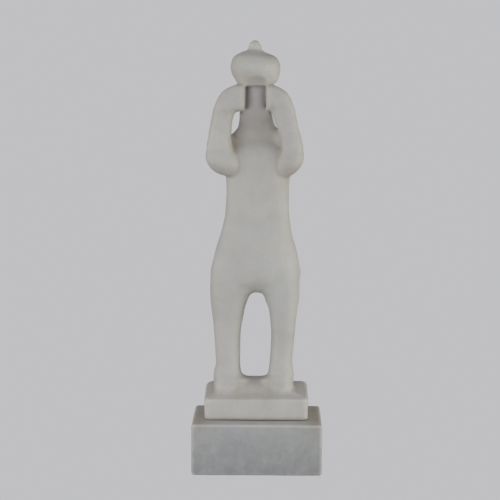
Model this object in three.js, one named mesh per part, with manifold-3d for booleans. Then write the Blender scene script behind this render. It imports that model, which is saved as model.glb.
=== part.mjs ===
// A standing marble figure in a Cycladic manner, head thrown back, holding a knobbed vessel
// over its face in both raised hands. The figure, the vessel and the low plinth under the
// feet are carved from one stone. That stone rests on a separate rectangular marble base.
//
// Millimetres, +Z up. The origin is the middle of the base's underside. The figure looks
// towards -Y, so its own right hand is on the -X side, called "left" here as an onlooker
// facing the figure sees it.

import * as THREE from "three";
import { mergeVertices } from "three/addons/utils/BufferGeometryUtils.js";
import Module from "manifold-3d";

const wasm = await Module();
wasm.setup();

// ---------------------------------------------------------------- driving dimensions

const BASE = { width: 90, depth: 63, height: 35.8, edge: 1.5, corner: 1.5 };
const REST_GAP = 0.3; // between the base's top and the plinth's underside

// Low plinth of the figure's own stone: a slab with its top edges worn round.
const PLINTH = { x: -0.7, width: 72.8, front: 17.5, back: 22, top: 56.6, topEdge: 4.6, footEdge: 2, power: 13 };

// The web of stone left standing between the feet: a low ridge that runs across.
const WEB = { from: [-16, 3, 52.8], to: [12, 3, 52.8], halfHeight: 10, halfDepth: 12 };

// Trunk from the crotch to the top of the chest. left/right and front/back are distances
// from the trunk's middle line.
const TRUNK = {
  x: 0.3,
  capLow: 10,
  capHigh: 17,
  stations: [
    { z: 123, left: 33.3, right: 28.8, front: 14.2, back: 18.5 },
    { z: 136, left: 33.4, right: 29.8, front: 15.4, back: 20 },
    { z: 152, left: 30, right: 27, front: 15.4, back: 17.8 },
    { z: 167, left: 25.6, right: 22.9, front: 14.4, back: 14 },
    { z: 181, left: 22.8, right: 21.3, front: 13.4, back: 12.2 },
    { z: 195, left: 22.3, right: 21.2, front: 13.2, back: 12.4 },
    { z: 212, left: 22.8, right: 21.8, front: 13.4, back: 14 },
    { z: 232, left: 21, right: 19.5, front: 11.5, back: 13 },
  ],
};

// Gap between the legs: an upright slot under half an ellipse.
const GAP = { x: -1.2, halfWidth: 11, crotch: 124.2, archHeight: 28 };

// Legs: outer edges are distances from the gap's middle line.
const LEFT_LEG = [
  { z: 58, outer: 29.9, front: 10.5, back: 10 },
  { z: 66, outer: 29.6, front: 9.6, back: 9.8 },
  { z: 73.6, outer: 28.1, front: 9, back: 10.4 },
  { z: 89, outer: 28.8, front: 10.4, back: 12.6 },
  { z: 104, outer: 30.2, front: 12, back: 13.8 },
  { z: 124, outer: 32.3, front: 13.5, back: 16.6 },
  { z: 138, outer: 31.2, front: 13.8, back: 17.4 },
  { z: 150, outer: 27, front: 12, back: 14 },
];
const RIGHT_LEG = [
  { z: 58, outer: 26.8, front: 10.5, back: 10 },
  { z: 66, outer: 26.8, front: 9.6, back: 9.8 },
  { z: 73.6, outer: 25.7, front: 9, back: 10.4 },
  { z: 89, outer: 26.9, front: 10.4, back: 12.6 },
  { z: 104, outer: 28.3, front: 12, back: 13.8 },
  { z: 124, outer: 30.6, front: 13.5, back: 16.6 },
  { z: 138, outer: 30.2, front: 13.8, back: 17.4 },
  { z: 150, outer: 27, front: 12, back: 14 },
];

// Feet: blunt lobes, hardly longer than the ankles are deep.
const FOOT = { halfWidth: 9.8, front: 13, back: 12, low: 50, high: 71, toeHeight: 15 };

// Arms as [x, y, z] points: shoulder to elbow, elbow to wrist, heel of the hand to fingers.
const LEFT_ARM = {
  upper: [[-11, 5, 216], [-21.4, -3, 214], [-26.2, -8, 219.2]],
  upperRadius: 9.9,
  forearm: [[-27, -9, 218], [-26.4, -10, 229], [-24, -9, 243], [-21.9, -8, 251.6]],
  forearmHalfWidth: 8.2,
  hand: [[-16.4, -7.2, 257.3], [-12.6, -7, 258]],
};
const RIGHT_ARM = {
  upper: [[9, 5, 216], [18.6, -1, 213.2], [22.8, -5, 218.8]],
  upperRadius: 9.5,
  forearm: [[23.9, -6.5, 219], [22.9, -9, 229], [19.7, -9, 243], [17.3, -8, 251.6]],
  forearmHalfWidth: 7.3,
  hand: [[11, -7.2, 257.4], [7.2, -7, 258]],
};
const FOREARM_HALF_DEPTH = 7.6;
const HAND = { halfHeight: 9.3, halfDepth: 7.2, fingerTip: 2.3, power: 2.7 };

// Head thrown back: a long oval from the chin to the crown, its face turned up.
const HEAD = {
  chin: [-1, -3.6, 245.6],
  crown: [-1, 14, 253.4],
  halfWidth: 11.8,
  halfHeight: 9.2,
  chinCap: 5,
  crownCap: 10,
  power: 2.5,
};
const NOSE = { from: 0.62, to: 1.1, halfWidth: 1.7, rise: 2.4 };
const NECK = [
  { z: 212, left: 19, right: 17, front: 8, back: 11 },
  { z: 226, left: 18.4, right: 16.4, front: 7, back: 11 },
  { z: 234, left: 15.6, right: 13.4, front: 8, back: 11 },
  { z: 240, left: 13.1, right: 11, front: 8.4, back: 11.5 },
  { z: 250, left: 11.6, right: 10, front: 7, back: 12 },
];

// Vessel: a round body on a stem, closed by a small knob that sits a little off centre.
const VESSEL = { x: -2.1, y: -0.6 };
const VESSEL_BODY = [
  { z: 266.4, radius: 10 },
  { z: 268, radius: 13.2 },
  { z: 270.8, radius: 14.5 },
  { z: 273.5, radius: 15.9 },
  { z: 279, radius: 17.3 },
  { z: 281.7, radius: 17 },
  { z: 284.4, radius: 16 },
  { z: 287.2, radius: 13.5 },
  { z: 288.6, radius: 11 },
  { z: 289.6, radius: 6 },
];
const KNOB_X = -2.6;
const KNOB_PROFILE = [
  { z: 286, radius: 14.8 },
  { z: 287.6, radius: 12.6 },
  { z: 289, radius: 9.6 },
  { z: 290.2, radius: 6.8 },
  { z: 291.4, radius: 5.1 },
  { z: 294, radius: 3.9 },
  { z: 296.4, radius: 2.8 },
  { z: 297.8, radius: 0.4 },
];
const STEM = { x: -1.8, y: -1.5, halfWidth: 6.1, halfDepth: 5.6, low: 250, high: 270, power: 3 };
// Arched hollow under the vessel's front, between the hands.
const NICHE = { x: -1.2, y: -16, z: 266, halfWidth: 9.4, depth: 9, height: 7.6 };

const SECTION_POWER = 2.3; // superellipse power of the body's sections: a little squarer than an oval
const CAP_STEPS = 3; // rings in each rounded end of a limb

// ---------------------------------------------------------------- curves and sections

// Slope of one value at a station: the harmonic mean of its neighbours' slopes, and level
// where the value turns, so that the curve never overshoots a station.
function slopeAt(stations, by, name, i) {
  const secant = (k) => (stations[k + 1][name] - stations[k][name]) / (stations[k + 1][by] - stations[k][by]);
  if (i === 0) return secant(0);
  if (i === stations.length - 1) return secant(i - 1);
  const before = secant(i - 1);
  const after = secant(i);
  return before * after <= 0 ? 0 : (2 * before * after) / (before + after);
}

// Every value of a table of stations at one place, on a cubic between the two nearest.
function sample(stations, by, at) {
  const found = stations.findIndex((station, k) => k > 0 && at <= station[by]);
  const i = found < 0 ? stations.length - 2 : found - 1;
  const span = stations[i + 1][by] - stations[i][by];
  const t = Math.min(Math.max((at - stations[i][by]) / span, 0), 1);
  const values = { [by]: at };
  for (const name of Object.keys(stations[i]).filter((key) => key !== by)) {
    values[name] =
      stations[i][name] * (1 + 2 * t) * (1 - t) ** 2 +
      stations[i + 1][name] * t * t * (3 - 2 * t) +
      span * slopeAt(stations, by, name, i) * t * (1 - t) ** 2 -
      span * slopeAt(stations, by, name, i + 1) * t * t * (1 - t);
  }
  return values;
}

// Places from low to high, closer together towards both ends.
function spread(low, high, count) {
  return Array.from({ length: count + 1 }, (_, i) => {
    return low + ((high - low) * (1 - Math.cos((Math.PI * i) / count))) / 2;
  });
}

// 0 at an end, 1 from the cap's length inwards, on a quarter of an ellipse.
function capScale(distance, cap) {
  const inside = Math.min(Math.max(distance / cap, 0), 1);
  return Math.sqrt(1 - (1 - inside) ** 2);
}

// ---------------------------------------------------------------- solids

// A geometry as a manifold solid: only its positions, with shared corners merged.
function solidOf(geometry) {
  const bare = geometry.index ? geometry.clone() : geometry;
  bare.deleteAttribute("normal");
  bare.deleteAttribute("uv");
  const merged = mergeVertices(bare, 1e-4);
  return new wasm.Manifold(
    new wasm.Mesh({
      numProp: 3,
      vertProperties: new Float32Array(merged.attributes.position.array),
      triVerts: new Uint32Array(merged.index.array),
    }),
  );
}

// Carries a superellipse section along rings and closes both ends with a fan. A ring has a
// centre, two unit directions u and v with u x v along the way, half sizes a and b, a power.
function sweep(rings, segments) {
  const positions = [];
  const index = [];
  for (const ring of rings) {
    for (let j = 0; j < segments; j += 1) {
      const angle = (2 * Math.PI * j) / segments;
      const bend = 2 / ring.power;
      const across = Math.sign(Math.cos(angle)) * Math.abs(Math.cos(angle)) ** bend;
      const along = Math.sign(Math.sin(angle)) * Math.abs(Math.sin(angle)) ** bend;
      const point = ring.centre
        .clone()
        .addScaledVector(ring.u, ring.a * across)
        .addScaledVector(ring.v, ring.b * along);
      positions.push(point.x, point.y, point.z);
    }
  }
  const first = rings[0].centre;
  const last = rings[rings.length - 1].centre;
  positions.push(first.x, first.y, first.z, last.x, last.y, last.z);
  const firstPole = rings.length * segments;
  for (let j = 0; j < segments; j += 1) {
    const next = (j + 1) % segments;
    index.push(firstPole, next, j);
    for (let i = 0; i < rings.length - 1; i += 1) {
      const low = i * segments;
      const high = low + segments;
      index.push(low + j, low + next, high + next, low + j, high + next, high + j);
    }
    const top = (rings.length - 1) * segments;
    index.push(firstPole + 1, top + j, top + next);
  }
  const geometry = new THREE.BufferGeometry();
  geometry.setAttribute("position", new THREE.Float32BufferAttribute(positions, 3));
  geometry.setIndex(index);
  return solidOf(geometry);
}

// A level ring whose edges are given as distances from (x, y).
function levelRing(x, y, z, edges, power, scale = 1) {
  return {
    centre: new THREE.Vector3(
      x + ((edges.right - edges.left) / 2),
      y + ((edges.back - edges.front) / 2),
      z,
    ),
    u: new THREE.Vector3(1, 0, 0),
    v: new THREE.Vector3(0, 1, 0),
    a: ((edges.left + edges.right) / 2) * scale,
    b: ((edges.front + edges.back) / 2) * scale,
    power,
  };
}

// A limb along a smooth path: half sizes across (in the plane of the path) and deep, with
// rounded ends that reach past the path by the cap lengths. "towards" is the direction that
// "deep" follows.
function limb({ path, across, deep, capStart, capEnd, towards, steps, segments, power = SECTION_POWER }) {
  const curve = new THREE.CatmullRomCurve3(path.map((point) => new THREE.Vector3(...point)));
  const ring = (t, beyond, scale) => {
    const tangent = curve.getTangentAt(t);
    const v = new THREE.Vector3(...towards);
    v.addScaledVector(tangent, -v.dot(tangent)).normalize();
    const u = new THREE.Vector3().crossVectors(v, tangent);
    const centre = curve.getPointAt(t).addScaledVector(tangent, beyond);
    return { centre, u, v, a: across * scale, b: deep * scale, power };
  };
  const rings = [];
  for (let i = 0; i < CAP_STEPS; i += 1) {
    const angle = (Math.PI / 2) * (0.97 - i / CAP_STEPS);
    rings.push(ring(0, -capStart * Math.sin(angle), Math.cos(angle)));
  }
  for (let i = 0; i <= steps; i += 1) {
    rings.push(ring(i / steps, 0, 1));
  }
  for (let i = CAP_STEPS - 1; i >= 0; i -= 1) {
    const angle = (Math.PI / 2) * (0.97 - i / CAP_STEPS);
    rings.push(ring(1, capEnd * Math.sin(angle), Math.cos(angle)));
  }
  return sweep(rings, segments);
}

// An ellipsoid from three half sizes.
function ellipsoid(x, y, z, a, b, c, segments) {
  const geometry = new THREE.SphereGeometry(1, segments, Math.round(segments * 0.6));
  geometry.rotateX(Math.PI / 2);
  geometry.scale(a, b, c);
  geometry.translate(x, y, z);
  return solidOf(geometry);
}

// ---------------------------------------------------------------- the base

function makeBase() {
  const { width, depth, height, edge, corner } = BASE;
  const w = width / 2 - edge;
  const d = depth / 2 - edge;
  const r = corner;
  const outline = new THREE.Shape();
  outline.moveTo(-w + r, -d);
  outline.lineTo(w - r, -d);
  outline.absarc(w - r, -d + r, r, -Math.PI / 2, 0);
  outline.lineTo(w, d - r);
  outline.absarc(w - r, d - r, r, 0, Math.PI / 2);
  outline.lineTo(-w + r, d);
  outline.absarc(-w + r, d - r, r, Math.PI / 2, Math.PI);
  outline.lineTo(-w, -d + r);
  outline.absarc(-w + r, -d + r, r, Math.PI, 1.5 * Math.PI);
  const block = new THREE.ExtrudeGeometry(outline, {
    depth: height - 2 * edge,
    bevelThickness: edge,
    bevelSize: edge,
    bevelSegments: 3,
    curveSegments: 2,
  });
  block.translate(0, 0, edge);
  return solidOf(block);
}

// ---------------------------------------------------------------- the figure's stone

function makePlinth() {
  const low = BASE.height + REST_GAP;
  const rise = PLINTH.top - low;
  const heights = [...spread(0, PLINTH.footEdge, 3), ...spread(rise - PLINTH.topEdge, rise, 5)];
  const rings = heights.map((h) => {
    const foot = PLINTH.footEdge * (1 - capScale(h, PLINTH.footEdge));
    const top = PLINTH.topEdge * (1 - capScale(rise - h, PLINTH.topEdge));
    const inset = foot + top;
    const edges = {
      left: PLINTH.width / 2 - inset,
      right: PLINTH.width / 2 - inset,
      front: PLINTH.front - inset,
      back: PLINTH.back - inset,
    };
    return levelRing(PLINTH.x, 0, low + h, edges, PLINTH.power);
  });
  return sweep(rings, 36);
}

function makeWeb() {
  return limb({
    path: [WEB.from, WEB.to],
    across: WEB.halfHeight,
    deep: WEB.halfDepth,
    capStart: 4,
    capEnd: 4,
    towards: [0, 1, 0],
    steps: 1,
    segments: 20,
  });
}

function makeTrunk() {
  const { x, capLow, capHigh, stations } = TRUNK;
  const low = stations[0].z;
  const high = stations[stations.length - 1].z;
  const rings = spread(low + 0.02, high - 0.02, 18).map((z) => {
    const scale = capScale(z - low, capLow) * capScale(high - z, capHigh);
    return levelRing(x, 0, z, sample(stations, "z", z), SECTION_POWER, scale);
  });
  return sweep(rings, 34);
}

function gapHalfWidth(z) {
  const below = Math.min(Math.max((GAP.crotch - z) / GAP.archHeight, 0), 1);
  return GAP.halfWidth * Math.sqrt(1 - (1 - below) ** 2);
}

function makeLeg(stations, side) {
  const low = stations[0].z;
  const high = stations[stations.length - 1].z;
  const rings = [...spread(low, GAP.crotch - GAP.archHeight, 5), ...spread(99, high, 10)].map((z) => {
    const leg = sample(stations, "z", z);
    const inner = gapHalfWidth(z);
    const edges = {
      left: side < 0 ? leg.outer : -inner,
      right: side < 0 ? -inner : leg.outer,
      front: leg.front,
      back: leg.back,
    };
    return levelRing(GAP.x, 0, z, edges, SECTION_POWER);
  });
  return sweep(rings, 22);
}

function makeFoot(stations, side) {
  const { halfWidth, front, back, low, high, toeHeight } = FOOT;
  const outer = sample(stations, "z", 66).outer;
  const x = GAP.x + side * (outer - halfWidth + 0.2);
  const edges = { left: halfWidth, right: halfWidth, front, back };
  const rings = spread(low, high, 9).map((z) => {
    const scale = capScale(z - low + 0.05, 8) * capScale(high - z + 0.05, toeHeight);
    return levelRing(x, 0, z, edges, SECTION_POWER, scale);
  });
  return sweep(rings, 22);
}

function makeArm(arm) {
  const upper = limb({
    path: arm.upper,
    across: arm.upperRadius,
    deep: arm.upperRadius,
    capStart: 6,
    capEnd: arm.upperRadius,
    towards: [0, 0, 1],
    steps: 5,
    segments: 22,
    power: 2,
  });
  const forearm = limb({
    path: arm.forearm,
    across: arm.forearmHalfWidth,
    deep: FOREARM_HALF_DEPTH,
    capStart: 6,
    capEnd: arm.forearmHalfWidth,
    towards: [0, 1, 0],
    steps: 9,
    segments: 20,
  });
  const hand = limb({
    path: arm.hand,
    across: HAND.halfHeight,
    deep: HAND.halfDepth,
    capStart: HAND.halfHeight,
    capEnd: HAND.fingerTip,
    towards: [0, 1, 0],
    steps: 2,
    segments: 22,
    power: HAND.power,
  });
  return upper.add(forearm).add(hand);
}

function makeHead() {
  const head = limb({
    path: [HEAD.chin, HEAD.crown],
    across: HEAD.halfHeight,
    deep: HEAD.halfWidth,
    capStart: HEAD.chinCap,
    capEnd: HEAD.crownCap,
    towards: [-1, 0, 0],
    steps: 3,
    segments: 26,
    power: HEAD.power,
  });
  const chin = new THREE.Vector3(...HEAD.chin);
  const crown = new THREE.Vector3(...HEAD.crown);
  const up = new THREE.Vector3(0, chin.z - crown.z, crown.y - chin.y).normalize();
  const onFace = (t, lift) => chin.clone().lerp(crown, t).addScaledVector(up, lift).toArray();
  const nose = limb({
    path: [onFace(NOSE.from, HEAD.halfHeight - 0.6), onFace(NOSE.to, HEAD.halfHeight - 1.6)],
    across: NOSE.rise,
    deep: NOSE.halfWidth,
    capStart: 1.5,
    capEnd: 3,
    towards: [-1, 0, 0],
    steps: 2,
    segments: 12,
  });
  return head.add(nose);
}

function makeNeck() {
  const rings = spread(NECK[0].z, NECK[NECK.length - 1].z, 8).map((z) => {
    return levelRing(TRUNK.x, 0, z, sample(NECK, "z", z), SECTION_POWER);
  });
  return sweep(rings, 28);
}

// A turned form about an upright axis: radii at heights, closed flat at both ends.
function turned(x, y, stations, steps, segments) {
  const low = stations[0].z;
  const high = stations[stations.length - 1].z;
  const profile = spread(low, high, steps).map((z) => new THREE.Vector2(sample(stations, "z", z).radius, z));
  profile.unshift(new THREE.Vector2(0, low));
  profile.push(new THREE.Vector2(0, high));
  const geometry = new THREE.LatheGeometry(profile, segments);
  geometry.rotateX(Math.PI / 2);
  geometry.translate(x, y, 0);
  return solidOf(geometry);
}

function makeVessel() {
  const body = turned(VESSEL.x, VESSEL.y, VESSEL_BODY, 13, 34);
  const knob = turned(KNOB_X, VESSEL.y, KNOB_PROFILE, 8, 24);
  const niche = ellipsoid(NICHE.x, NICHE.y, NICHE.z, NICHE.halfWidth, NICHE.depth, NICHE.height, 20);
  const { x, y, halfWidth, halfDepth, low, high, power } = STEM;
  const edges = { left: halfWidth, right: halfWidth, front: halfDepth, back: halfDepth };
  const stem = sweep([low, high].map((z) => levelRing(x, y, z, edges, power)), 24);
  return body.add(knob).subtract(niche).add(stem);
}

function makeFigure() {
  return makePlinth()
    .add(makeWeb())
    .add(makeLeg(LEFT_LEG, -1))
    .add(makeLeg(RIGHT_LEG, 1))
    .add(makeFoot(LEFT_LEG, -1))
    .add(makeFoot(RIGHT_LEG, 1))
    .add(makeTrunk())
    .add(makeNeck())
    .add(makeHead())
    .add(makeArm(LEFT_ARM))
    .add(makeArm(RIGHT_ARM))
    .add(makeVessel());
}

// ---------------------------------------------------------------- the scene graph

const marble = { figure: 0xaeaba6, base: 0x9f9d9a };

function namedMesh(name, solid, colour) {
  const mesh = solid.getMesh();
  const geometry = new THREE.BufferGeometry();
  geometry.setAttribute("position", new THREE.Float32BufferAttribute(mesh.vertProperties, mesh.numProp));
  geometry.setIndex(new THREE.Uint32BufferAttribute(mesh.triVerts, 1));
  geometry.computeVertexNormals();
  const material = new THREE.MeshStandardMaterial({ color: colour, roughness: 0.55, metalness: 0 });
  const result = new THREE.Mesh(geometry, material);
  result.name = name;
  return result;
}

const object = new THREE.Group();
object.add(namedMesh("figure", makeFigure(), marble.figure));
object.add(namedMesh("base", makeBase(), marble.base));

export default object;
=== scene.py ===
"""A marble figurine in a Cycladic manner on a rectangular marble base.

The figure stone (figure, vessel and low plinth) is a set of carved forms, each a section
carried along a path, joined into one skin whose inner corners are then filled like a
carver's fillets. Lengths in the tables are millimetres from the middle of the base's
underside, as in the part; meshes are made in metres.
"""

import math

import bpy
import numpy as np
from mathutils import Matrix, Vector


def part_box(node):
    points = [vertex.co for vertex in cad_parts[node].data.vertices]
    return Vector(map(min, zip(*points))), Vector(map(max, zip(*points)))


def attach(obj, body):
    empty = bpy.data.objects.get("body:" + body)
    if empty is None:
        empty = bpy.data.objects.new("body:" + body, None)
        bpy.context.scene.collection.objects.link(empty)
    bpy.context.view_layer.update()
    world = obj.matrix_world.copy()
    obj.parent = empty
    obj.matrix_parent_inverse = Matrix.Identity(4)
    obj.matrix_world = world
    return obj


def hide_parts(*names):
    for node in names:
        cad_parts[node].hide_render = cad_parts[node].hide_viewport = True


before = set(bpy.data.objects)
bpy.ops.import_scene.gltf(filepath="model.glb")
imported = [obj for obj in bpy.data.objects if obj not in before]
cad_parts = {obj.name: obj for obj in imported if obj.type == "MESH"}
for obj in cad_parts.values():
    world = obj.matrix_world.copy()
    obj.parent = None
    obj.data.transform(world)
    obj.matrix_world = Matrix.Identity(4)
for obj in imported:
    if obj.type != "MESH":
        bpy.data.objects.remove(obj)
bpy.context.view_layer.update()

MM = 0.001
FIGURE_LOW, FIGURE_HIGH = (np.array(corner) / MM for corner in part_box("figure"))
BASE_LOW, BASE_HIGH = (np.array(corner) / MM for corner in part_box("base"))

# ------------------------------------------------------------------ the figure's sizes

SECTION_POWER = 2.3  # a little squarer than an oval
SKIN_STEP = 0.9  # size of the joined skin's faces

# The figure's own low plinth. Its top falls towards the front between two depths, leans a
# little towards the left end from "lean_from" on, and is worn round at both ends.
PLINTH = dict(corner=4.5, top_edge=2.6, foot_edge=0.4)
PLINTH_FRONT, PLINTH_BACK, PLINTH_TOP = -17.5, 22.0, 56.6
PLINTH_SLOPE = dict(drop=5.0, start=-4.0, end=-16.0)
PLINTH_LEAN = dict(drop=0.6, lean_from=-4)
PLINTH_WEAR = 0.9
FOOT_SINK = 0.6  # below the stone's underside, cut off again for a sharp foot edge

# The low ridge of stone left standing between the feet.
WEB = dict(start=(-16, 3, 52.8), end=(12, 3, 52.8), half_height=10, half_depth=13, power=2)

# Trunk: height, then distances left, right, front and back of its middle line.
TRUNK_X = 0.3
TRUNK_CAPS = (10, 17)
TRUNK = [
    (123, 33.3, 28.8, 14.2, 18.5),
    (136, 33.4, 29.8, 15.4, 20),
    (152, 30, 27, 15.4, 17.8),
    (167, 25.6, 22.9, 14.4, 14),
    (181, 22.8, 21.3, 13.4, 12.2),
    (195, 22.3, 21.2, 13.2, 12.4),
    (212, 22.8, 21.8, 13.4, 14),
    (232, 21, 19.5, 11.5, 13),
]

# Gap between the legs: height, then its left and right edges.
GAP = [
    (62.6, -5, 1.6),
    (64, -9.6, 6),
    (67, -11.6, 7.6),
    (75, -12.2, 8.7),
    (92, -12, 9.7),
    (110.4, -9.4, 7.9),
    (117.5, -7.3, 5.6),
    (122.4, -5, 3.7),
    (125, -1.2, -0.2),
]
GAP_MIDDLE = -1.2

# Legs: height, then outer edge from the gap's middle, front and back.
LEFT_LEG = [
    (58, 29.9, 10.5, 10),
    (66, 29.6, 9.6, 9.8),
    (73.6, 28.1, 9, 10.4),
    (89, 28.8, 10.4, 12.6),
    (104, 30.2, 12, 13.8),
    (124, 32.3, 13.5, 16.6),
    (138, 31.2, 13.8, 17.4),
    (150, 27, 12, 14),
]
RIGHT_LEG = [
    (58, 26.8, 10.5, 10),
    (66, 26.8, 9.6, 9.8),
    (73.6, 25.7, 9, 10.4),
    (89, 26.9, 10.4, 12.6),
    (104, 28.3, 12, 13.8),
    (124, 30.6, 13.5, 16.6),
    (138, 30.2, 13.8, 17.4),
    (150, 27, 12, 14),
]
FOOT = dict(half_width=9.8, front=13, back=12, low=50, high=71, sole_cap=8, toe_cap=15, spread=0.2)
ANKLE_HEIGHT = 66.0

# Arms. The elbow is an oval across the picture, pushed forward out of the shoulder; the
# forearm rises from it (height, then inner and outer edge, as distances from the middle);
# the wrist turns inwards about the forearm's inner edge (angle in degrees, then radius);
# the hand ends bluntly beside the vessel's stem.
LEFT_ARM = dict(
    side=-1,
    elbow=(-24.1, 215.9),
    elbow_reach=(6, -7.5),
    elbow_half=(13.1, 9.7),
    elbow_tilt=33,
    forearm=[(213, 16, 32), (222, 17, 35.5), (234, 18.5, 34), (241, 18, 32.7), (248.7, 15.8, 31.2)],
    wrist=[(0, 15.4), (23, 14.7), (63, 16.9), (81, 17.7), (90, 18.9)],
    hand_end=8.8,
    finger_tip=4.8,
)
RIGHT_ARM = dict(
    side=1,
    elbow=(22, 215.3),
    elbow_reach=(6, -7),
    elbow_half=(11.7, 8.3),
    elbow_tilt=52,
    forearm=[
        (213, 15, 28.4),
        (222, 16.8, 31.3),
        (234, 14.6, 29.1),
        (243, 11.2, 26.9),
        (248.8, 9.2, 25.5),
    ],
    wrist=[(0, 16.3), (21, 15.7), (55, 17.2), (68, 17.6), (90, 18.6)],
    hand_end=5.4,
    finger_tip=2.3,
)
ARM_DEPTH = [(213, -5.6, 7.8), (219, -7.8, 7.7), (226, -9.5, 7.6), (240, -9, 7.6), (256, -7.4, 7.2)]
WRIST_FOLD = 0.5  # radius of the wrist's inner edge
HAND_POWER = 2.7

# Head thrown back: a long oval from chin to crown, its face turned up.
CHIN = np.array((-1.7, 0.5, 244.4))
CROWN = np.array((-1.7, 14.5, 251))
HEAD = dict(half_width=11.2, half_height=9.3, chin_cap=4.5, crown_cap=10, power=2.1)

# Neck: height, then distances left, right, front and back of its middle line.
NECK_Y = 2.5
NECK = [
    (214, 21, 18, 13, 9),
    (228, 20.6, 17, 9, 9),
    (233.8, 18.1, 14.8, 7, 9),
    (237.8, 14.7, 12.2, 6, 9),
    (243.3, 13.4, 10.1, 5.5, 9),
    (246.5, 13, 9.2, 5.5, 9),
    (250, 12.6, 8.8, 5.5, 9),
]

# Shoulders, which close the hollows between neck and arms: centre and half sizes.
SHOULDERS = [((-21.5, 0, 225.5), (7, 7.5, 8.5)), ((15.5, 1, 229), (8, 7, 8.8))]

# Vessel: height, then left and right edges from its middle line, of a round body that
# draws in to a small knob a little off centre. It stands on a stem with a round rib.
VESSEL_AT = (-2.1, -0.6)
VESSEL = [
    (266.8, 11.3, 11.7),
    (270.8, 13.9, 15.2),
    (276, 16.6, 16.9),
    (279.4, 17.3, 17.3),
    (284.4, 16.2, 15.9),
    (287.1, 14.3, 13.2),
    (289.9, 8.7, 6.5),
    (291.3, 4.8, 4.7),
    (293, 4.6, 4.5),
    (295.3, 3.9, 3.2),
    (297.1, 2.2, 2),
    (297.8, 0.5, 0.5),
]
STEM = dict(x=-3.4, y=3, half_width=9, half_depth=4, power=3)
STEM_RIB = dict(x=-1.6, y=1.2, half_width=6.2, half_depth=6.2, power=2)
STEM_ENDS = (246, 271)
NICHE = dict(x=-0.8, y=-21, z=259.5, half_width=17, height=15, depth=14)

# How far inner corners are filled: everywhere, then more or less round some places.
FILLET = 0.5
FILL_RATE = 0.9  # share of the way that one round fills
FILLET_PLACES = [
    ((0, 0, 128), (60, 60, 22), 0.5),
    ((0, 0, 232), (20, 30, 10), 0.5),
    ((0, 0, 267), (60, 60, 7), -0.4),
]

# Hand-worked unevenness: height, wavelength and seed of each set of waves.
FIGURE_WAVES = [(0.16, 16, 3), (0.05, 5, 5)]
BASE_WAVES = [(0.1, 22, 7), (0.04, 6, 9)]
BASE_BLOCK = dict(corner=1.4, top_edge=1.2, foot_edge=1.2)

# Brown marks, mostly painted shade in hollows, creases, under parts and at the plinth's foot,
# with some grime between the feet and a faint warm patch of the stone's own tone: place, reach and
# strength.
FIGURE_SHADE_AND_STAINS = [
    # Painted shade: the throat under the chin and hands.
    ((-2.4, -6, 240), (15, 16, 14), 0.27),
    # Painted shade: the hollows between the neck and the arms, left and right.
    ((-16.2, -4, 228.2), (5.5, 12, 8), 0.5),
    ((13.6, -4, 231), (5, 12, 7), 0.15),
    # Painted shade: the undersides of both elbows.
    ((-23, -8, 208.5), (10, 14, 5), 0.3),
    ((23, -8, 209.5), (7, 14, 7), 0.42),
    # Painted shade: the vessel's upward-facing right shoulder.
    ((8, -10, 286.5), (9, 14, 4.5), 0.28),
    # Painted shadow: cast by the left hand into the recess beside the stem.
    ((-8, -2, 260.5), (3.5, 12, 12), 0.15),
    # Painted shade: the groin above the gap between the legs.
    ((-1, -14, 130), (10, 14, 9), 0.22),
    # Grime and painted shade: the plinth's top between the feet.
    ((-2.4, -8, 58), (20, 16, 7), 0.3),
    # Painted shade: under both hands.
    ((-19, -12, 249), (9, 12, 2.5), 0.25),
    ((7, -10, 251.5), (6, 12, 3), 0.25),
    # Painted shade: the vessel's underside above the stem.
    ((-1, -15, 270.5), (11, 14, 4.5), 0.22),
    # The stone's own faint warm tone at the waist.
    ((4, -14, 196), (30, 20, 32), 0.08),
    # Painted contact shadow: the plinth's foot edge.
    ((0, 0, 36), (70, 70, 1.2), 0.7),
]
# Painted contact shadows on the base's top round the plinth: place, reach and strength.
BASE_CONTACT_SHADOWS = [
    # Painted contact shadow beside the plinth's right and left ends.
    ((40, 0, 36), (5, 40, 7), 0.6),
    ((-40, 0, 36), (5, 40, 7), 0.4),
    # Painted contact shadow along the plinth's front.
    ((0, -19, 36), (46, 3.5, 3), 0.35),
]


# ------------------------------------------------------------------ curves and sections


def through(stations, at):
    """Values at the places `at`: a cubic through the stations' rows (place, values...),
    with each station's slope the harmonic mean of the slopes beside it, and level where
    a value turns, so that nothing overshoots."""
    table = np.array(stations, float)
    place, value = table[:, 0], table[:, 1:]
    secant = np.diff(value, axis=0) / np.diff(place)[:, None]
    slope = np.zeros_like(value)
    slope[0], slope[-1] = secant[0], secant[-1]
    before, after = secant[:-1], secant[1:]
    same_way = before * after > 0
    slope[1:-1] = np.where(same_way, 2 * before * after / np.where(same_way, before + after, 1), 0)
    i = np.clip(np.searchsorted(place, at) - 1, 0, len(place) - 2)
    span = (place[i + 1] - place[i])[:, None]
    t = np.clip((at - place[i])[:, None] / span, 0, 1)
    return (
        value[i] * (1 + 2 * t) * (1 - t) ** 2
        + value[i + 1] * t * t * (3 - 2 * t)
        + span * slope[i] * t * (1 - t) ** 2
        - span * slope[i + 1] * t * t * (1 - t)
    )


def spread(low, high, count):
    """Places from low to high, closer together towards both ends (a cosine)."""
    return low + (high - low) * (1 - np.cos(np.linspace(0, math.pi, count + 1))) / 2


def cap_scale(distance, cap):
    """0 at an end and 1 from the cap's length inwards, along a quarter of an ellipse."""
    inside = np.clip(distance / cap, 0, 1)
    return np.sqrt(np.clip(1 - (1 - inside) ** 2, 1e-6, 1))


def oval(power, count):
    """Unit superellipse |x|^p + |y|^p = 1 as two arrays of count values."""
    angle = np.linspace(0, 2 * math.pi, count, endpoint=False)
    cosine, sine = np.cos(angle), np.sin(angle)
    bend = 2 / power
    return np.sign(cosine) * np.abs(cosine) ** bend, np.sign(sine) * np.abs(sine) ** bend


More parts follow.
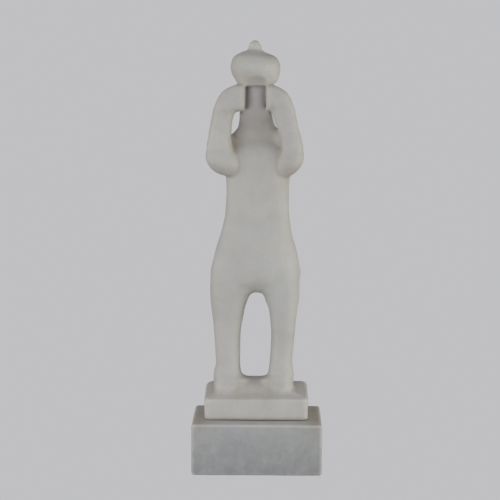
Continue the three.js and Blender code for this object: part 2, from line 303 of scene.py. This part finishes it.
def tube(grid):
    """Vertices and faces of a closed tube: a grid of rings (rings, around, 3) joined
    ring to ring, with both ends closed by a fan to the ring's middle."""
    rings, around = grid.shape[:2]
    poles = grid[[0, -1]].mean(axis=1)
    vertices = np.concatenate([grid.reshape(-1, 3), poles])
    i, j = np.meshgrid(np.arange(rings - 1), np.arange(around), indexing="ij")
    k = (j + 1) % around
    quads = np.stack([i * around + j, i * around + k, (i + 1) * around + k, (i + 1) * around + j], -1)
    j = np.arange(around)
    k = (j + 1) % around
    first = np.stack([np.full(around, rings * around), k, j, j], -1)
    top = (rings - 1) * around
    last = np.stack([np.full(around, rings * around + 1), top + j, top + k, top + k], -1)
    return vertices, np.concatenate([quads.reshape(-1, 4), first, last])


def level_form(x, y, heights, edges, power=SECTION_POWER, scale=1.0, around=96):
    """Superellipse sections stacked upwards. edges holds, for each height, the distances
    left, right, front and back of (x, y); scale shrinks a section about its own middle."""
    left, right, front, back = edges.T
    across, deep = oval(power, around)
    half_width = (left + right) / 2 * scale
    half_depth = (front + back) / 2 * scale
    grid = np.empty((len(heights), around, 3))
    grid[..., 0] = (x + (right - left) / 2)[:, None] + half_width[:, None] * across
    grid[..., 1] = (y + (back - front) / 2)[:, None] + half_depth[:, None] * deep
    grid[..., 2] = heights[:, None]
    return tube(grid)


def smooth_path(points, count):
    """Catmull-Rom curve through the points, at count + 1 places of equal arc length, and
    the unit tangents there."""
    p = np.array(points, float)
    p = np.concatenate([[2 * p[0] - p[1]], p, [2 * p[-1] - p[-2]]])
    t = np.linspace(0, 1, 40, endpoint=False)[:, None]
    spans = []
    for a, b, c, d in zip(p[:-3], p[1:-2], p[2:-1], p[3:]):
        spans.append(
            b + 0.5 * t * (c - a + t * (2 * a - 5 * b + 4 * c - d + t * (3 * (b - c) + d - a)))
        )
    fine = np.concatenate(spans + [p[-2:-1]])
    run = np.concatenate([[0], np.cumsum(np.linalg.norm(np.diff(fine, axis=0), axis=1))])
    at = np.linspace(0, run[-1], count + 1)
    centres = np.stack([np.interp(at, run, fine[:, k]) for k in range(3)], -1)
    tangents = np.gradient(centres, axis=0)
    return centres, tangents / np.linalg.norm(tangents, axis=1)[:, None]


def limb(points, across, deep, caps, towards, power=SECTION_POWER, around=72, steps=40):
    """A superellipse section carried along a smooth path, with ends rounded as half
    ellipses that reach past the path by the cap lengths. "deep" follows `towards`."""
    centres, tangents = smooth_path(points, steps)
    angle = np.linspace(0.985, 0, 14)[:-1] * math.pi / 2
    start = centres[0] - tangents[0] * (caps[0] * np.sin(angle))[:, None]
    end = centres[-1] + tangents[-1] * (caps[1] * np.sin(angle[::-1]))[:, None]
    scale = np.concatenate([np.cos(angle), np.ones(len(centres)), np.cos(angle[::-1])])
    tangents = np.concatenate(
        [np.repeat(tangents[:1], len(angle), 0), tangents, np.repeat(tangents[-1:], len(angle), 0)]
    )
    centres = np.concatenate([start, centres, end])
    v = np.array(towards, float) - tangents * (tangents @ np.array(towards, float))[:, None]
    v /= np.linalg.norm(v, axis=1)[:, None]
    u = np.cross(v, tangents)
    a, b = oval(power, around)
    section = across * a[None, :, None] * u[:, None, :] + deep * b[None, :, None] * v[:, None, :]
    return tube(centres[:, None, :] + scale[:, None, None] * section)


# ------------------------------------------------------------------ forms of the figure


def slab(low, high, corner, top_edge, foot_edge, steps=10):
    """A block with round upright corners and round top and foot edges: a rounded
    rectangle whose inset follows a quarter circle near the top and near the foot."""
    middle = (low[:2] + high[:2]) / 2
    half = (high[:2] - low[:2]) / 2
    rise = high[2] - low[2]
    heights = np.concatenate(
        [
            spread(0, foot_edge, steps),
            np.linspace(foot_edge, rise - top_edge, 12)[1:-1],
            spread(rise - top_edge, rise, steps),
        ]
    )
    inset = foot_edge * (1 - cap_scale(heights, foot_edge))
    inset = inset + top_edge * (1 - cap_scale(rise - heights, top_edge))
    arc = np.linspace(0, math.pi / 2, 9)
    turn = np.concatenate([arc + k * math.pi / 2 for k in range(4)])
    across = np.repeat([1, -1, -1, 1], len(arc)) * (half[0] - corner)
    deep = np.repeat([1, 1, -1, -1], len(arc)) * (half[1] - corner)
    radius = corner - inset[:, None]
    grid = np.empty((len(heights), len(turn), 3))
    grid[..., 0] = middle[0] + across + radius * np.cos(turn)
    grid[..., 1] = middle[1] + deep + radius * np.sin(turn)
    grid[..., 2] = (low[2] + heights)[:, None]
    inward = np.linspace(0.85, 0.1, 6)[:, None, None]
    centre = np.array([middle[0], middle[1], high[2]])
    return tube(np.concatenate([grid, centre + (grid[-1] - centre) * inward]))


def plinth(low, high):
    """The slab with its top worn down: height times 1 less a smooth step towards the
    front, a straight fall towards the left end and a tenth power towards both ends."""
    vertices, faces = slab(low, high, **PLINTH)
    x, y, z = vertices.T
    step = np.clip((PLINTH_SLOPE["start"] - y) / (PLINTH_SLOPE["start"] - PLINTH_SLOPE["end"]), 0, 1)
    fall = PLINTH_SLOPE["drop"] * step * step * (3 - 2 * step)
    lean_from = PLINTH_LEAN["lean_from"]
    fall = fall + PLINTH_LEAN["drop"] * np.clip((x - lean_from) / (low[0] - lean_from), 0, 1)
    fall = fall + PLINTH_WEAR * np.abs((2 * x - low[0] - high[0]) / (high[0] - low[0])) ** 10
    share = (z - low[2]) / (high[2] - low[2])
    return np.stack([x, y, z - fall * share], -1), faces


def trunk():
    heights = spread(TRUNK[0][0], TRUNK[-1][0], 110)
    scale = cap_scale(heights - heights[0], TRUNK_CAPS[0])
    scale = scale * cap_scale(heights[-1] - heights, TRUNK_CAPS[1])
    return level_form(TRUNK_X, 0, heights, through(TRUNK, heights), scale=scale, around=140)


def leg(stations, side):
    """Sections between the leg's outer edge and the gap's edge; above the gap the legs
    run into each other."""
    heights = np.concatenate([spread(stations[0][0], 96, 60), spread(97, stations[-1][0], 70)])
    outer, front, back = through(stations, heights).T
    edge = through(GAP, heights)[:, 0 if side < 0 else 1]
    overlap = 2 * np.clip((heights - GAP[-1][0]) / 6, 0, 1)
    inner = overlap - np.abs(edge - GAP_MIDDLE) * (heights <= GAP[-1][0])
    left, right = (outer, inner) if side < 0 else (inner, outer)
    return level_form(GAP_MIDDLE, 0, heights, np.stack([left, right, front, back], -1))


def foot(stations, side):
    heights = spread(FOOT["low"], FOOT["high"], 40)
    ankle = through(stations, np.array([ANKLE_HEIGHT]))[0, 0]
    half = FOOT["half_width"]
    x = GAP_MIDDLE + side * (ankle - half + FOOT["spread"])
    edges = np.tile((half, half, FOOT["front"], FOOT["back"]), (len(heights), 1))
    scale = cap_scale(heights - FOOT["low"], FOOT["sole_cap"])
    scale = scale * cap_scale(FOOT["high"] - heights, FOOT["toe_cap"])
    return level_form(x, 0, heights, edges, scale=scale)


def web():
    path = [WEB["start"], WEB["end"]]
    return limb(path, WEB["half_height"], WEB["half_depth"], (4, 4), (0, 1, 0), WEB["power"])


def arm(sizes):
    """Elbow, and one run of sections from the forearm round the wrist to the hand's end.
    Each section spans from an inner to an outer edge point in the upright plane."""
    side = sizes["side"]
    x, z = sizes["elbow"]
    start, end = sizes["elbow_reach"]
    tilt = math.radians(sizes["elbow_tilt"])
    elbow = limb(
        [(x, start, z), (x, end, z)],
        sizes["elbow_half"][1],
        sizes["elbow_half"][0],
        (3, 9),
        (-side * math.cos(tilt), 0, -math.sin(tilt)),
        power=2,
    )
    heights = np.linspace(sizes["forearm"][0][0], sizes["forearm"][-1][0], 50)
    inner, outer = through(sizes["forearm"], heights).T
    angle = np.radians(np.linspace(0, 90, 30))[1:]
    radius = through(sizes["wrist"], np.degrees(angle))[:, 0]
    corner_x, corner_z = sizes["forearm"][-1][1], sizes["forearm"][-1][0]
    turn_x = corner_x + radius * np.cos(angle)
    turn_z = corner_z + radius * np.sin(angle)
    fold_x = corner_x + WRIST_FOLD * np.cos(angle)
    fold_z = corner_z + WRIST_FOLD * np.sin(angle)
    finger_tip = sizes["finger_tip"]
    reach = np.linspace(corner_x, sizes["hand_end"] + finger_tip, 8)[1:]
    tip_angle = np.linspace(0, 0.97, 10)[1:] * math.pi / 2
    tip = sizes["hand_end"] + finger_tip * (1 - np.sin(tip_angle))
    hand_x = np.concatenate([reach, tip])
    inner_edge = np.concatenate(
        [
            np.stack([inner, heights], -1),
            np.stack([fold_x, fold_z], -1),
            np.stack([hand_x, np.full(len(hand_x), fold_z[-1])], -1),
        ]
    )
    outer_edge = np.concatenate(
        [
            np.stack([outer, heights], -1),
            np.stack([turn_x, turn_z], -1),
            np.stack([hand_x, np.full(len(hand_x), turn_z[-1])], -1),
        ]
    )
    middle = (inner_edge + outer_edge) / 2
    half = (outer_edge - inner_edge) / 2
    y, depth = through(ARM_DEPTH, middle[:, 1]).T
    first = np.cos(np.linspace(0.97, 0, 10)[:-1] * math.pi / 2)
    thick = np.ones(len(middle))
    thick[: len(first)] = first
    wide = thick.copy()
    thick[-len(tip) :] = np.cos(tip_angle) ** 0.7
    wide[-len(tip) :] = np.cos(tip_angle) ** 0.25
    power = np.linspace(SECTION_POWER, HAND_POWER, len(middle))
    rings = []
    for m, h, centre_y, d, p in zip(middle, half * wide[:, None], y, depth * thick, power):
        a, b = oval(p, 72)
        across = m[:, None] + h[:, None] * a
        rings.append(np.stack([side * across[0], centre_y + d * b, across[1]], -1))
    return [elbow, tube(np.array(rings))]


def neck():
    heights = spread(NECK[0][0], NECK[-1][0], 50)
    return level_form(TRUNK_X, NECK_Y, heights, through(NECK, heights), around=120)


def shoulder(centre, half):
    """An ellipsoid as sections stacked upwards."""
    rise = spread(-half[2], half[2], 40)
    scale = np.sqrt(np.clip(1 - (rise / half[2]) ** 2, 1e-4, 1))
    edges = np.tile((half[0], half[0], half[1], half[1]), (len(rise), 1))
    return level_form(centre[0], centre[1], centre[2] + rise, edges, power=2, scale=scale)


def head():
    return limb(
        [CHIN, CROWN],
        HEAD["half_height"],
        HEAD["half_width"],
        (HEAD["chin_cap"], HEAD["crown_cap"]),
        (-1, 0, 0),
        power=HEAD["power"],
        around=110,
    )


def vessel():
    """The body and knob, hollowed low in front by an ellipsoid (y = middle + depth *
    sqrt(1 - x^2 - z^2) in its own units), and the stem: a broad back with a round rib."""
    heights = np.concatenate([spread(VESSEL[0][0], 288, 60), spread(288, VESSEL[-1][0], 40)[1:]])
    left, right = through(VESSEL, heights).T
    deep = (left + right) / 2
    body, faces = level_form(
        *VESSEL_AT, heights, np.stack([left, right, deep, deep], -1), power=2, around=140
    )
    x, y, z = body.T
    arch = 1 - ((x - NICHE["x"]) / NICHE["half_width"]) ** 2 - ((z - NICHE["z"]) / NICHE["height"]) ** 2
    cut = NICHE["y"] + NICHE["depth"] * np.sqrt(np.clip(arch, 0, 1))
    body[:, 1] = np.where((y < VESSEL_AT[1]) & (arch > 0), np.maximum(y, cut), y)
    heights = np.linspace(*STEM_ENDS, 30)
    stems = []
    for sizes in (STEM, STEM_RIB):
        half, deep = sizes["half_width"], sizes["half_depth"]
        edges = np.tile((half, half, deep, deep), (len(heights), 1))
        stems.append(level_form(sizes["x"], sizes["y"], heights, edges, power=sizes["power"]))
    return [(body, faces), *stems]


# ------------------------------------------------------------------ meshes


def mesh_of(name, vertices, faces):
    """A mesh in metres from vertices in millimetres and quads (a repeated last corner
    makes a triangle)."""
    mesh = bpy.data.meshes.new(name)
    corners = [tuple(dict.fromkeys(face)) for face in faces.tolist()]
    mesh.from_pydata((vertices * MM).tolist(), [], corners)
    mesh.update()
    return mesh


def joined(forms):
    """Several closed forms as one list of vertices and faces."""
    offsets = np.cumsum([0] + [len(vertices) for vertices, _ in forms[:-1]])
    vertices = np.concatenate([v for v, _ in forms])
    faces = np.concatenate([f + offset for (_, f), offset in zip(forms, offsets)])
    return vertices, faces


def skin(forms, step):
    """The outer skin of overlapping closed forms, remeshed with faces of about `step`:
    vertices in millimetres and quads."""
    holder = bpy.data.objects.new("skin_work", mesh_of("skin_work", *joined(forms)))
    bpy.context.scene.collection.objects.link(holder)
    remesh = holder.modifiers.new("Remesh", "REMESH")
    remesh.mode = "VOXEL"
    remesh.voxel_size = step * MM
    remesh.adaptivity = 0
    solid = holder.evaluated_get(bpy.context.evaluated_depsgraph_get()).data
    vertices = np.empty(len(solid.vertices) * 3)
    solid.vertices.foreach_get("co", vertices)
    corners = np.empty(len(solid.loops), int)
    solid.loops.foreach_get("vertex_index", corners)
    faces = corners.reshape(-1, 4)
    bpy.data.objects.remove(holder)
    return vertices.reshape(-1, 3) / MM, faces


class Skin:
    """A closed quad mesh as arrays, with its neighbours, normals and smoothing."""

    def __init__(self, vertices, faces):
        self.vertices = vertices
        self.faces = faces
        pairs = np.concatenate([faces[:, [k, (k + 1) % 4]] for k in range(4)])
        self.pairs = np.unique(np.sort(pairs, axis=1), axis=0)
        self.count = np.bincount(self.pairs.ravel(), minlength=len(vertices))

    def spread_of(self, values):
        """Mean of each vertex's neighbours."""
        a, b = self.pairs.T
        total = np.stack(
            [
                np.bincount(a, values[b, k], len(values)) + np.bincount(b, values[a, k], len(values))
                for k in range(values.shape[1])
            ],
            -1,
        )
        return total / self.count[:, None]

    def normals(self):
        """Vertex normals: the sum of the faces' area vectors (half the diagonals' cross)."""
        corner = self.vertices[self.faces]
        area = np.cross(corner[:, 2] - corner[:, 0], corner[:, 3] - corner[:, 1])
        total = np.stack(
            [
                sum(np.bincount(self.faces[:, c], area[:, k], len(self.vertices)) for c in range(4))
                for k in range(3)
            ],
            -1,
        )
        return total / np.linalg.norm(total, axis=1)[:, None]

    def even_out(self, rounds):
        """Taubin smoothing: a step towards the neighbours' mean, then one slightly
        longer back, which takes off the remesh's ripple and keeps the form's size."""
        for _ in range(rounds):
            for pull in (0.5, -0.53):
                self.vertices = self.vertices + pull * (self.spread_of(self.vertices) - self.vertices)

    def fill_corners(self, rounds, weight):
        """Fills inner corners with fillets: each vertex moves towards its neighbours'
        mean only where that lies outside the surface."""
        for _ in range(rounds):
            normal = self.normals()
            pull = self.spread_of(self.vertices) - self.vertices
            out = np.sum(pull * normal, axis=1)
            self.vertices = self.vertices + pull * (weight * (out > 0) * FILL_RATE)[:, None]

    def roughen(self, waves):
        """Moves each vertex along its normal by the sum of the waves' unevenness."""
        uneven = sum(rise * waviness(self.vertices, length, seed) for rise, length, seed in waves)
        self.vertices = self.vertices + self.normals() * uneven[:, None]

    def hollowness(self, rounds):
        """Mean curvature times the face size, smoothed: above 0 in hollows, below 0 on
        edges."""
        pull = self.spread_of(self.vertices) - self.vertices
        value = np.sum(pull * self.normals(), axis=1)[:, None]
        for _ in range(rounds):
            value = self.spread_of(value)
        return value[:, 0]


def bell(points, centre, reach):
    """1 at the centre and falling as a bell over the reach, which may differ by axis."""
    away = (points - np.array(centre, float)) / np.array(reach, float)
    return np.exp(-np.sum(away * away, axis=1))


def waviness(points, wavelength, seed):
    """Gentle hand-worked unevenness between about -1 and 1: twelve sine waves in seeded
    directions, with lengths around the given wavelength."""
    draw = np.random.default_rng(seed)
    direction = draw.normal(size=(12, 3))
    direction /= np.linalg.norm(direction, axis=1)[:, None]
    length = wavelength * draw.uniform(0.7, 1.6, 12)
    phase = draw.uniform(0, 2 * math.pi, 12)
    return np.sin(points @ (direction * (2 * math.pi / length[:, None])).T + phase).sum(axis=1) / 5


def shade_and_stain_share(points, tint_patches):
    """Share of brown at each point, painted shade and real grime alike: 1 less the product of what each
    patch leaves clean.
    """
    clean = np.ones(len(points))
    for centre, reach, strength in tint_patches:
        clean *= 1 - strength * bell(points, centre, reach)
    return 1 - clean


def finished(name, body, marks, material, node):
    """Makes the object: mesh with its attributes (marks by name, and "hollow"), its
    material, body and node."""
    mesh = mesh_of(name, body.vertices, body.faces)
    mesh.polygons.foreach_set("use_smooth", np.ones(len(mesh.polygons), bool))
    for mark, values in {"hollow": body.hollowness(3), **marks}.items():
        mesh.attributes.new(mark, "FLOAT", "POINT").data.foreach_set("value", values)
    mesh.materials.append(material)
    piece = bpy.data.objects.new(name, mesh)
    bpy.context.scene.collection.objects.link(piece)
    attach(piece, "root")
    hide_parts(node)
    return piece


def fitted(vertices, low, high):
    """The vertices stretched by a hair along each axis so that their box is the node's."""
    own_low, own_high = vertices.min(axis=0), vertices.max(axis=0)
    return low + (vertices - own_low) * (high - low) / (own_high - own_low)


# ------------------------------------------------------------------ materials


def nodes_of(name):
    material = bpy.data.materials.new(name)
    material.use_nodes = True
    tree = material.node_tree
    shader = tree.nodes["Principled BSDF"]
    return material, tree, shader


GRAIN = (0.93, 0.92, 0.9)
# Painted shade grey for the base's lower upright faces, which also carries its real grey-blue mottling.
SHADE = (0.345, 0.347, 0.355)
# Brown for painted shade in hollows and under parts, and for some real grime and warm tone.
BROWN_SHADE_AND_STAIN = (0.42, 0.34, 0.24)
# Brown for painted shade in hollows, by curvature.
HOLLOW_SHADE = (0.5, 0.43, 0.35)
# Pale for a painted highlight on convex edges.
EDGE_HIGHLIGHT = (0.9, 0.89, 0.87)


def marble(name, light, dark, cloud_scale, cloud_tint, seed):
    """Matt white marble: two scales of faint clouds, fine crystal grain, painted grey shade
    with real grey-blue mottling and painted brown shade with some grime by the mesh's marks,
    painted shade in the hollows and a painted highlight on convex edges, softly translucent."""
    material, tree, shader = nodes_of(name)
    node, link = tree.nodes.new, tree.links.new

    place = node("ShaderNodeTexCoord")
    shift = node("ShaderNodeMapping")
    shift.inputs["Location"].default_value = (seed * 0.37, seed * 0.53, seed * 0.71)
    link(place.outputs["Object"], shift.inputs["Vector"])

    def noise(scale, detail, rough=0.5, distortion=0.0):
        made = node("ShaderNodeTexNoise")
        made.inputs["Scale"].default_value = scale
        made.inputs["Detail"].default_value = detail
        made.inputs["Roughness"].default_value = rough
        made.inputs["Distortion"].default_value = distortion
        link(shift.outputs["Vector"], made.inputs["Vector"])
        return made.outputs["Fac"]

    def remap(value, low, high, to_low, to_high):
        made = node("ShaderNodeMapRange")
        made.inputs["From Min"].default_value = low
        made.inputs["From Max"].default_value = high
        made.inputs["To Min"].default_value = to_low
        made.inputs["To Max"].default_value = to_high
        link(value, made.inputs["Value"])
        return made.outputs["Result"]

    def mixed(factor, first, second):
        made = node("ShaderNodeMix")
        made.data_type = "RGBA"
        link(factor, made.inputs["Factor"])
        for socket, colour in ((made.inputs["A"], first), (made.inputs["B"], second)):
            if isinstance(colour, tuple):
                socket.default_value = (*colour, 1)
            else:
                link(colour, socket)
        return made.outputs["Result"]

    clouds = remap(noise(cloud_scale, 4, 0.55, 0.6), 0.35, 0.7, 0, 1)
    colour = mixed(clouds, light, dark)
    veins = remap(noise(cloud_scale * 0.45, 3, 0.6, 1.4), 0.5, 0.72, 0, 0.55)
    colour = mixed(veins, colour, cloud_tint)
    grain = remap(noise(1400, 3, 0.65), 0.4, 0.75, 0, 0.16)
    colour = mixed(grain, colour, GRAIN)

    def mark(mark_name):
        made = node("ShaderNodeAttribute")
        made.attribute_name = mark_name
        return made.outputs["Fac"]

    def product(first, second):
        made = node("ShaderNodeMath")
        made.operation = "MULTIPLY"
        made.use_clamp = True
        link(first, made.inputs[0])
        link(second, made.inputs[1])
        return made.outputs["Value"]

    blotches = remap(noise(170, 6, 0.62, 0.3), 0.3, 0.7, 0.7, 1.3)
    # Painted shade: the base's upright faces greyer towards the bottom, mottled like its real grey-blue
    # veining.
    colour = mixed(product(mark("shade"), blotches), colour, SHADE)
    # Mostly painted shade and painted contact shadow in brown, with some real grime and a warm patch.
    colour = mixed(product(mark("shade_and_stain"), blotches), colour, BROWN_SHADE_AND_STAIN)
    # Painted shade: brown in hollows, by the mesh's curvature.
    hollow_shade = remap(mark("hollow"), 0.004, 0.05, 0, 0.5)
    colour = mixed(hollow_shade, colour, HOLLOW_SHADE)
    # Painted highlight: paler convex edges.
    edge_highlight = remap(mark("hollow"), -0.02, -0.09, 0, 0.3)
    colour = mixed(edge_highlight, colour, EDGE_HIGHLIGHT)
    link(colour, shader.inputs["Base Color"])

    link(remap(noise(260, 4, 0.6), 0.3, 0.7, 0.46, 0.66), shader.inputs["Roughness"])
    shader.inputs["Specular IOR Level"].default_value = 0.35
    shader.inputs["Subsurface Weight"].default_value = 0.35
    shader.inputs["Subsurface Radius"].default_value = (1.0, 0.8, 0.6)
    shader.inputs["Subsurface Scale"].default_value = 0.003

    def bump(height, strength, distance):
        made = node("ShaderNodeBump")
        made.inputs["Strength"].default_value = strength
        made.inputs["Distance"].default_value = distance
        link(height, made.inputs["Height"])
        return made

    crystals = bump(noise(1100, 4, 0.6), 0.22, 0.0003)
    rubbed = bump(noise(150, 3, 0.5), 0.25, 0.0012)
    link(crystals.outputs["Normal"], rubbed.inputs["Normal"])
    link(rubbed.outputs["Normal"], shader.inputs["Normal"])
    return material


def even_grey(name, glow):
    """A stage surface that shows one colour wherever the lamps are."""
    material, _, shader = nodes_of(name)
    shader.inputs["Base Color"].default_value = (0, 0, 0, 1)
    shader.inputs["Roughness"].default_value = 1.0
    shader.inputs["Specular IOR Level"].default_value = 0.0
    shader.inputs["Emission Color"].default_value = (*glow, 1)
    shader.inputs["Emission Strength"].default_value = 1.0
    return material


# ------------------------------------------------------------------ the object


def make_figure():
    plinth_low = np.array([FIGURE_LOW[0], PLINTH_FRONT, FIGURE_LOW[2] - FOOT_SINK])
    plinth_high = np.array([FIGURE_HIGH[0], PLINTH_BACK, PLINTH_TOP])
    forms = [
        plinth(plinth_low, plinth_high),
        web(),
        leg(LEFT_LEG, -1),
        leg(RIGHT_LEG, 1),
        foot(LEFT_LEG, -1),
        foot(RIGHT_LEG, 1),
        trunk(),
        neck(),
        *(shoulder(*sizes) for sizes in SHOULDERS),
        head(),
        *arm(LEFT_ARM),
        *arm(RIGHT_ARM),
        *vessel(),
    ]
    body = Skin(*skin(forms, SKIN_STEP))
    body.even_out(4)
    soft = np.full(len(body.vertices), FILLET)
    for centre, reach, more in FILLET_PLACES:
        soft += more * bell(body.vertices, centre, reach)
    body.fill_corners(14, np.clip(soft, 0, 1))
    body.even_out(3)
    body.roughen(FIGURE_WAVES)
    body.vertices[:, 2] = np.maximum(body.vertices[:, 2], FIGURE_LOW[2])
    body.vertices = fitted(body.vertices, FIGURE_LOW, FIGURE_HIGH)
    # The figure's brown: painted shade in hollows and under parts, some grime and a warm patch.
    marks = {"shade_and_stain": shade_and_stain_share(body.vertices, FIGURE_SHADE_AND_STAINS), "shade": np.zeros(len(body.vertices))}
    return finished("figure_stone", body, marks, FIGURE_MARBLE, "figure")


def make_base():
    body = Skin(*skin([slab(BASE_LOW, BASE_HIGH, **BASE_BLOCK)], SKIN_STEP))
    body.even_out(2)
    body.roughen(BASE_WAVES)
    body.vertices = fitted(body.vertices, BASE_LOW, BASE_HIGH)
    # Painted shade: upright faces greyer towards the bottom, with real grey-blue mottling; the brown is
    # painted contact shadow round the plinth.
    upright = np.clip(1.3 - 1.6 * body.normals()[:, 2], 0, 1)
    low_down = 1 - body.vertices[:, 2] / BASE_HIGH[2]
    marks = {
        "shade_and_stain": shade_and_stain_share(body.vertices, BASE_CONTACT_SHADOWS),
        "shade": upright * (0.3 + 0.45 * low_down),
    }
    return finished("base_block", body, marks, BASE_MARBLE, "base")


FIGURE_MARBLE = marble(
    "figure_marble",
    light=(0.70, 0.685, 0.66),
    dark=(0.62, 0.605, 0.58),
    cloud_scale=38,
    cloud_tint=(0.62, 0.63, 0.63),
    seed=1,
)
BASE_MARBLE = marble(
    "base_marble",
    light=(0.66, 0.655, 0.64),
    dark=(0.58, 0.575, 0.56),
    cloud_scale=34,
    cloud_tint=(0.5, 0.53, 0.56),
    seed=4,
)

figure_stone = make_figure()
base_block = make_base()


# ------------------------------------------------------------------ floor, light, camera

BACKDROP_GREY = (0.527, 0.527, 0.539)


def make_stage():
    """A wide floor disc and a dome round it, both pale grey, that cast no light."""
    around, rises, radius = 96, 24, 6000.0
    angle = np.linspace(0, 2 * math.pi, around, endpoint=False)
    rim = np.stack([radius * np.cos(angle), radius * np.sin(angle), np.zeros(around)], -1)
    floor_mesh = bpy.data.meshes.new("floor")
    floor_mesh.from_pydata((rim * MM).tolist(), [], [tuple(range(around))])
    floor_mesh.materials.append(even_grey("stage_floor", BACKDROP_GREY))
    floor = bpy.data.objects.new("floor", floor_mesh)
    lift = np.linspace(0, math.pi / 2, rises)[:, None]
    grid = np.empty((rises, around, 3))
    grid[..., 0] = radius * np.cos(lift) * np.cos(angle)
    grid[..., 1] = radius * np.cos(lift) * np.sin(angle)
    grid[..., 2] = radius * np.sin(lift)
    vertices, faces = tube(grid)
    dome_mesh = mesh_of("backdrop", vertices, faces[: (rises - 1) * around])
    dome_mesh.materials.append(even_grey("stage_dome", BACKDROP_GREY))
    dome = bpy.data.objects.new("backdrop", dome_mesh)
    for thing in (floor, dome):
        bpy.context.scene.collection.objects.link(thing)
        thing.visible_diffuse = False
        thing.visible_glossy = False
        thing.visible_transmission = False
        thing.visible_shadow = False


def soft_light(name, place, size, watts, colour, aim=(0, 0, 0.16)):
    """A square area light at `place`, in metres, facing `aim`."""
    lamp = bpy.data.lights.new(name, "AREA")
    lamp.shape = "SQUARE"
    lamp.size = size
    lamp.energy = watts
    lamp.color = colour
    light = bpy.data.objects.new(name, lamp)
    bpy.context.scene.collection.objects.link(light)
    away = np.array(place, float) - np.array(aim, float)
    back = away / np.linalg.norm(away)
    right = np.cross((0, 0, 1), back)
    right /= np.linalg.norm(right)
    turn = np.stack([right, np.cross(back, right), back], -1)
    light.matrix_world = Matrix.LocRotScale(place, Matrix(turn.tolist()).to_quaternion(), None)


def make_lights():
    """Soft lamps round the front at low height: a warm one at the right, one wide at the
    left, a cool one near the camera, a little from above, and dim light all round."""
    world = bpy.data.worlds.new("studio")
    world.use_nodes = True
    world.node_tree.nodes["Background"].inputs["Color"].default_value = (1.0, 0.96, 0.98, 1)
    world.node_tree.nodes["Background"].inputs["Strength"].default_value = 0.19
    bpy.context.scene.world = world
    away = 1.3
    # name, turn from the front in degrees, height, size, watts and colour
    lamps = (
        ("right_lamp", 75, 0.1, 0.9, 7.7, (1.0, 1.0, 0.9)),
        ("left_lamp", -66, 0.25, 1.2, 5.0, (1.0, 0.96, 0.84)),
        ("front_lamp", -15, 0.1, 0.9, 4.9, (0.84, 0.91, 1.0)),
    )
    for name, turn, height, size, watts, colour in lamps:
        angle = math.radians(turn)
        place = (away * math.sin(angle), -away * math.cos(angle), height)
        soft_light(name, place, size, watts, colour)
    soft_light("top_lamp", (0, -0.3, 1.6), 1.2, 2.2, (1.0, 1.0, 1.0))


def make_camera():
    """A long lens, a little above the figure's head and looking slightly down, turned a
    touch to the left and level within a sixth of a degree."""
    turn, tilt, roll = math.radians(0.89), math.radians(6.51), math.radians(0.16)
    distance, height, aside = 1.026, 0.27, -0.0054
    ahead = np.array([-math.sin(turn), math.cos(turn), 0])
    side = np.array([math.cos(turn), math.sin(turn), 0])
    sight = ahead * math.cos(tilt) - np.array([0, 0, math.sin(tilt)])
    above = ahead * math.sin(tilt) + np.array([0, 0, math.cos(tilt)])
    right = side * math.cos(roll) + above * math.sin(roll)
    up = above * math.cos(roll) - side * math.sin(roll)
    place = side * aside - ahead * distance + np.array([0, 0, height])
    lens = bpy.data.cameras.new("camera")
    lens.sensor_width = 36
    lens.lens = 106.6
    camera = bpy.data.objects.new("camera", lens)
    bpy.context.scene.collection.objects.link(camera)
    turned_to = Matrix(np.stack([right, up, -sight], -1).tolist())
    camera.matrix_world = Matrix.LocRotScale(place, turned_to.to_quaternion(), None)
    bpy.context.scene.camera = camera


make_stage()
make_lights()
make_camera()
bpy.context.scene.view_settings.view_transform = "Standard"
